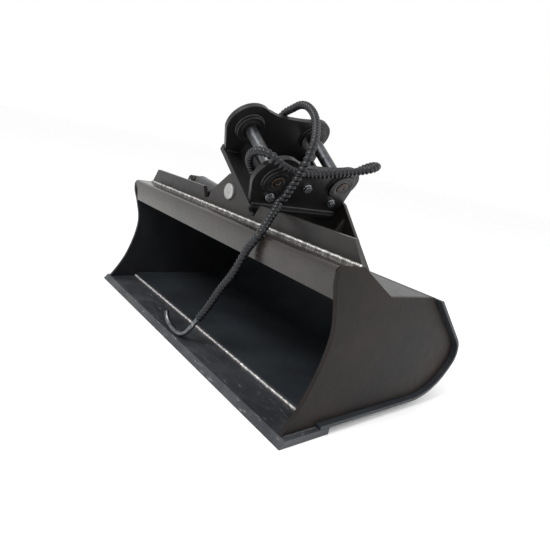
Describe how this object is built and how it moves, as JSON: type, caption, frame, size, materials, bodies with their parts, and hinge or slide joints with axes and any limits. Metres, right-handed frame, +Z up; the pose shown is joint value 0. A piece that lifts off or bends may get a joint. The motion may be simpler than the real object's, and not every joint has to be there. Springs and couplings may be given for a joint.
{
  "type": "excavator bucket",
  "caption": "Ditch-cleaning bucket for a small excavator, whose pin-on head tilts the wide bowl to either side with a hydraulic cylinder",
  "frame": {"origin": "middle of the whole part's box without its hoses, on the level ground it stands on", "axes": "+X across the blade towards the right side plate, +Y from the mouth to the heel, +Z up"},
  "size_m": [1.235, 0.7042, 0.8154],
  "materials": {
    "shell_paint": "semi-gloss charcoal paint, scuffed",
    "frame_paint": "semi-gloss dark brown-grey paint",
    "head_paint": "semi-gloss black paint",
    "pin_steel": "turned steel, lightly oiled",
    "zinc": "bright zinc plate",
    "yellow_zinc": "yellow zinc plate",
    "chrome": "hard chrome, polished",
    "hose_rubber": "matt black cover with a spiral guard"
  },
  "bodies": {
    "bucket": {"base_edge": "shell_paint", "wrapper": "shell_paint", "heel_strip_1": "shell_paint", "heel_strip_2": "shell_paint", "side_plate_left": "shell_paint", "side_plate_right": "shell_paint", "deck_plate": "frame_paint", "top_beam": "frame_paint", "front_upright": "frame_paint", "rear_upright": "frame_paint", "front_gusset_left": "frame_paint", "front_gusset_right": "frame_paint", "rear_gusset_left": "frame_paint", "rear_gusset_right": "frame_paint", "pivot_boss_front": "frame_paint", "pivot_boss_rear": "frame_paint", "pivot_end_cap": "frame_paint", "cylinder_lug_front": "frame_paint", "cylinder_lug_rear": "frame_paint", "pivot_pin": "pin_steel", "pivot_cap_bolt": "zinc", "cylinder_base_pin": "pin_steel", "feed_hose_upper": "hose_rubber", "feed_hose_lower": "hose_rubber", "feed_hose_tail": "zinc"},
    "tilt_head": {"head_base_plate": "head_paint", "ear_left": "head_paint", "ear_right": "head_paint", "dipper_boss_left": "head_paint", "dipper_boss_right": "head_paint", "link_boss_left": "head_paint", "link_boss_right": "head_paint", "cross_plate_front": "head_paint", "cross_plate_rear": "head_paint", "pivot_tube": "head_paint", "cylinder_web_front": "head_paint", "cylinder_web_rear": "head_paint", "hub_web_rear": "head_paint", "ear_bolt_1": "zinc", "ear_bolt_2": "zinc", "ear_bolt_3": "zinc", "dipper_pin": "pin_steel", "link_pin": "pin_steel", "return_hose": "hose_rubber", "return_hose_end": "zinc"},
    "cylinder_barrel": {"cylinder_base_eye": "head_paint", "cylinder_tube": "head_paint", "cylinder_gland": "head_paint", "port_boss_base": "head_paint", "port_boss_rod": "head_paint", "elbow_base": "zinc", "swivel_nut_base": "yellow_zinc", "ferrule_base": "zinc", "rod_port_fitting": "zinc"},
    "cylinder_rod": {"cylinder_piston": "pin_steel", "cylinder_rod": "chrome", "rod_eye": "head_paint", "rod_pin": "pin_steel", "rod_pin_washer_front": "zinc", "rod_pin_washer_rear": "zinc"}
  },
  "joints": [
    {"name": "tilt", "type": "hinge", "parent": "bucket", "child": "tilt_head", "pos_m": [0, -0.037, 0.503], "axis": [0, 1, 0], "range_deg": [-73, 0], "deforming": ["feed_hose_upper", "feed_hose_lower", "return_hose"]},
    {"name": "cylinder_swing", "type": "hinge", "parent": "bucket", "child": "cylinder_barrel", "pos_m": [-0.43, -0.07706, 0.478], "axis": [0, 1, 0], "range_deg": [-1.3, 0.1]},
    {"name": "rod_slide", "type": "slide", "parent": "cylinder_barrel", "child": "cylinder_rod", "axis": [0.9939, 0, -0.1104], "range_m": [-0.002, 0.0925]}
  ],
  "couplings": [
    {"joint": "cylinder_swing", "follows": "tilt", "ratio": 0.0164},
    {"joint": "rod_slide", "follows": "tilt", "m_per_rad": -0.070726}
  ]
}
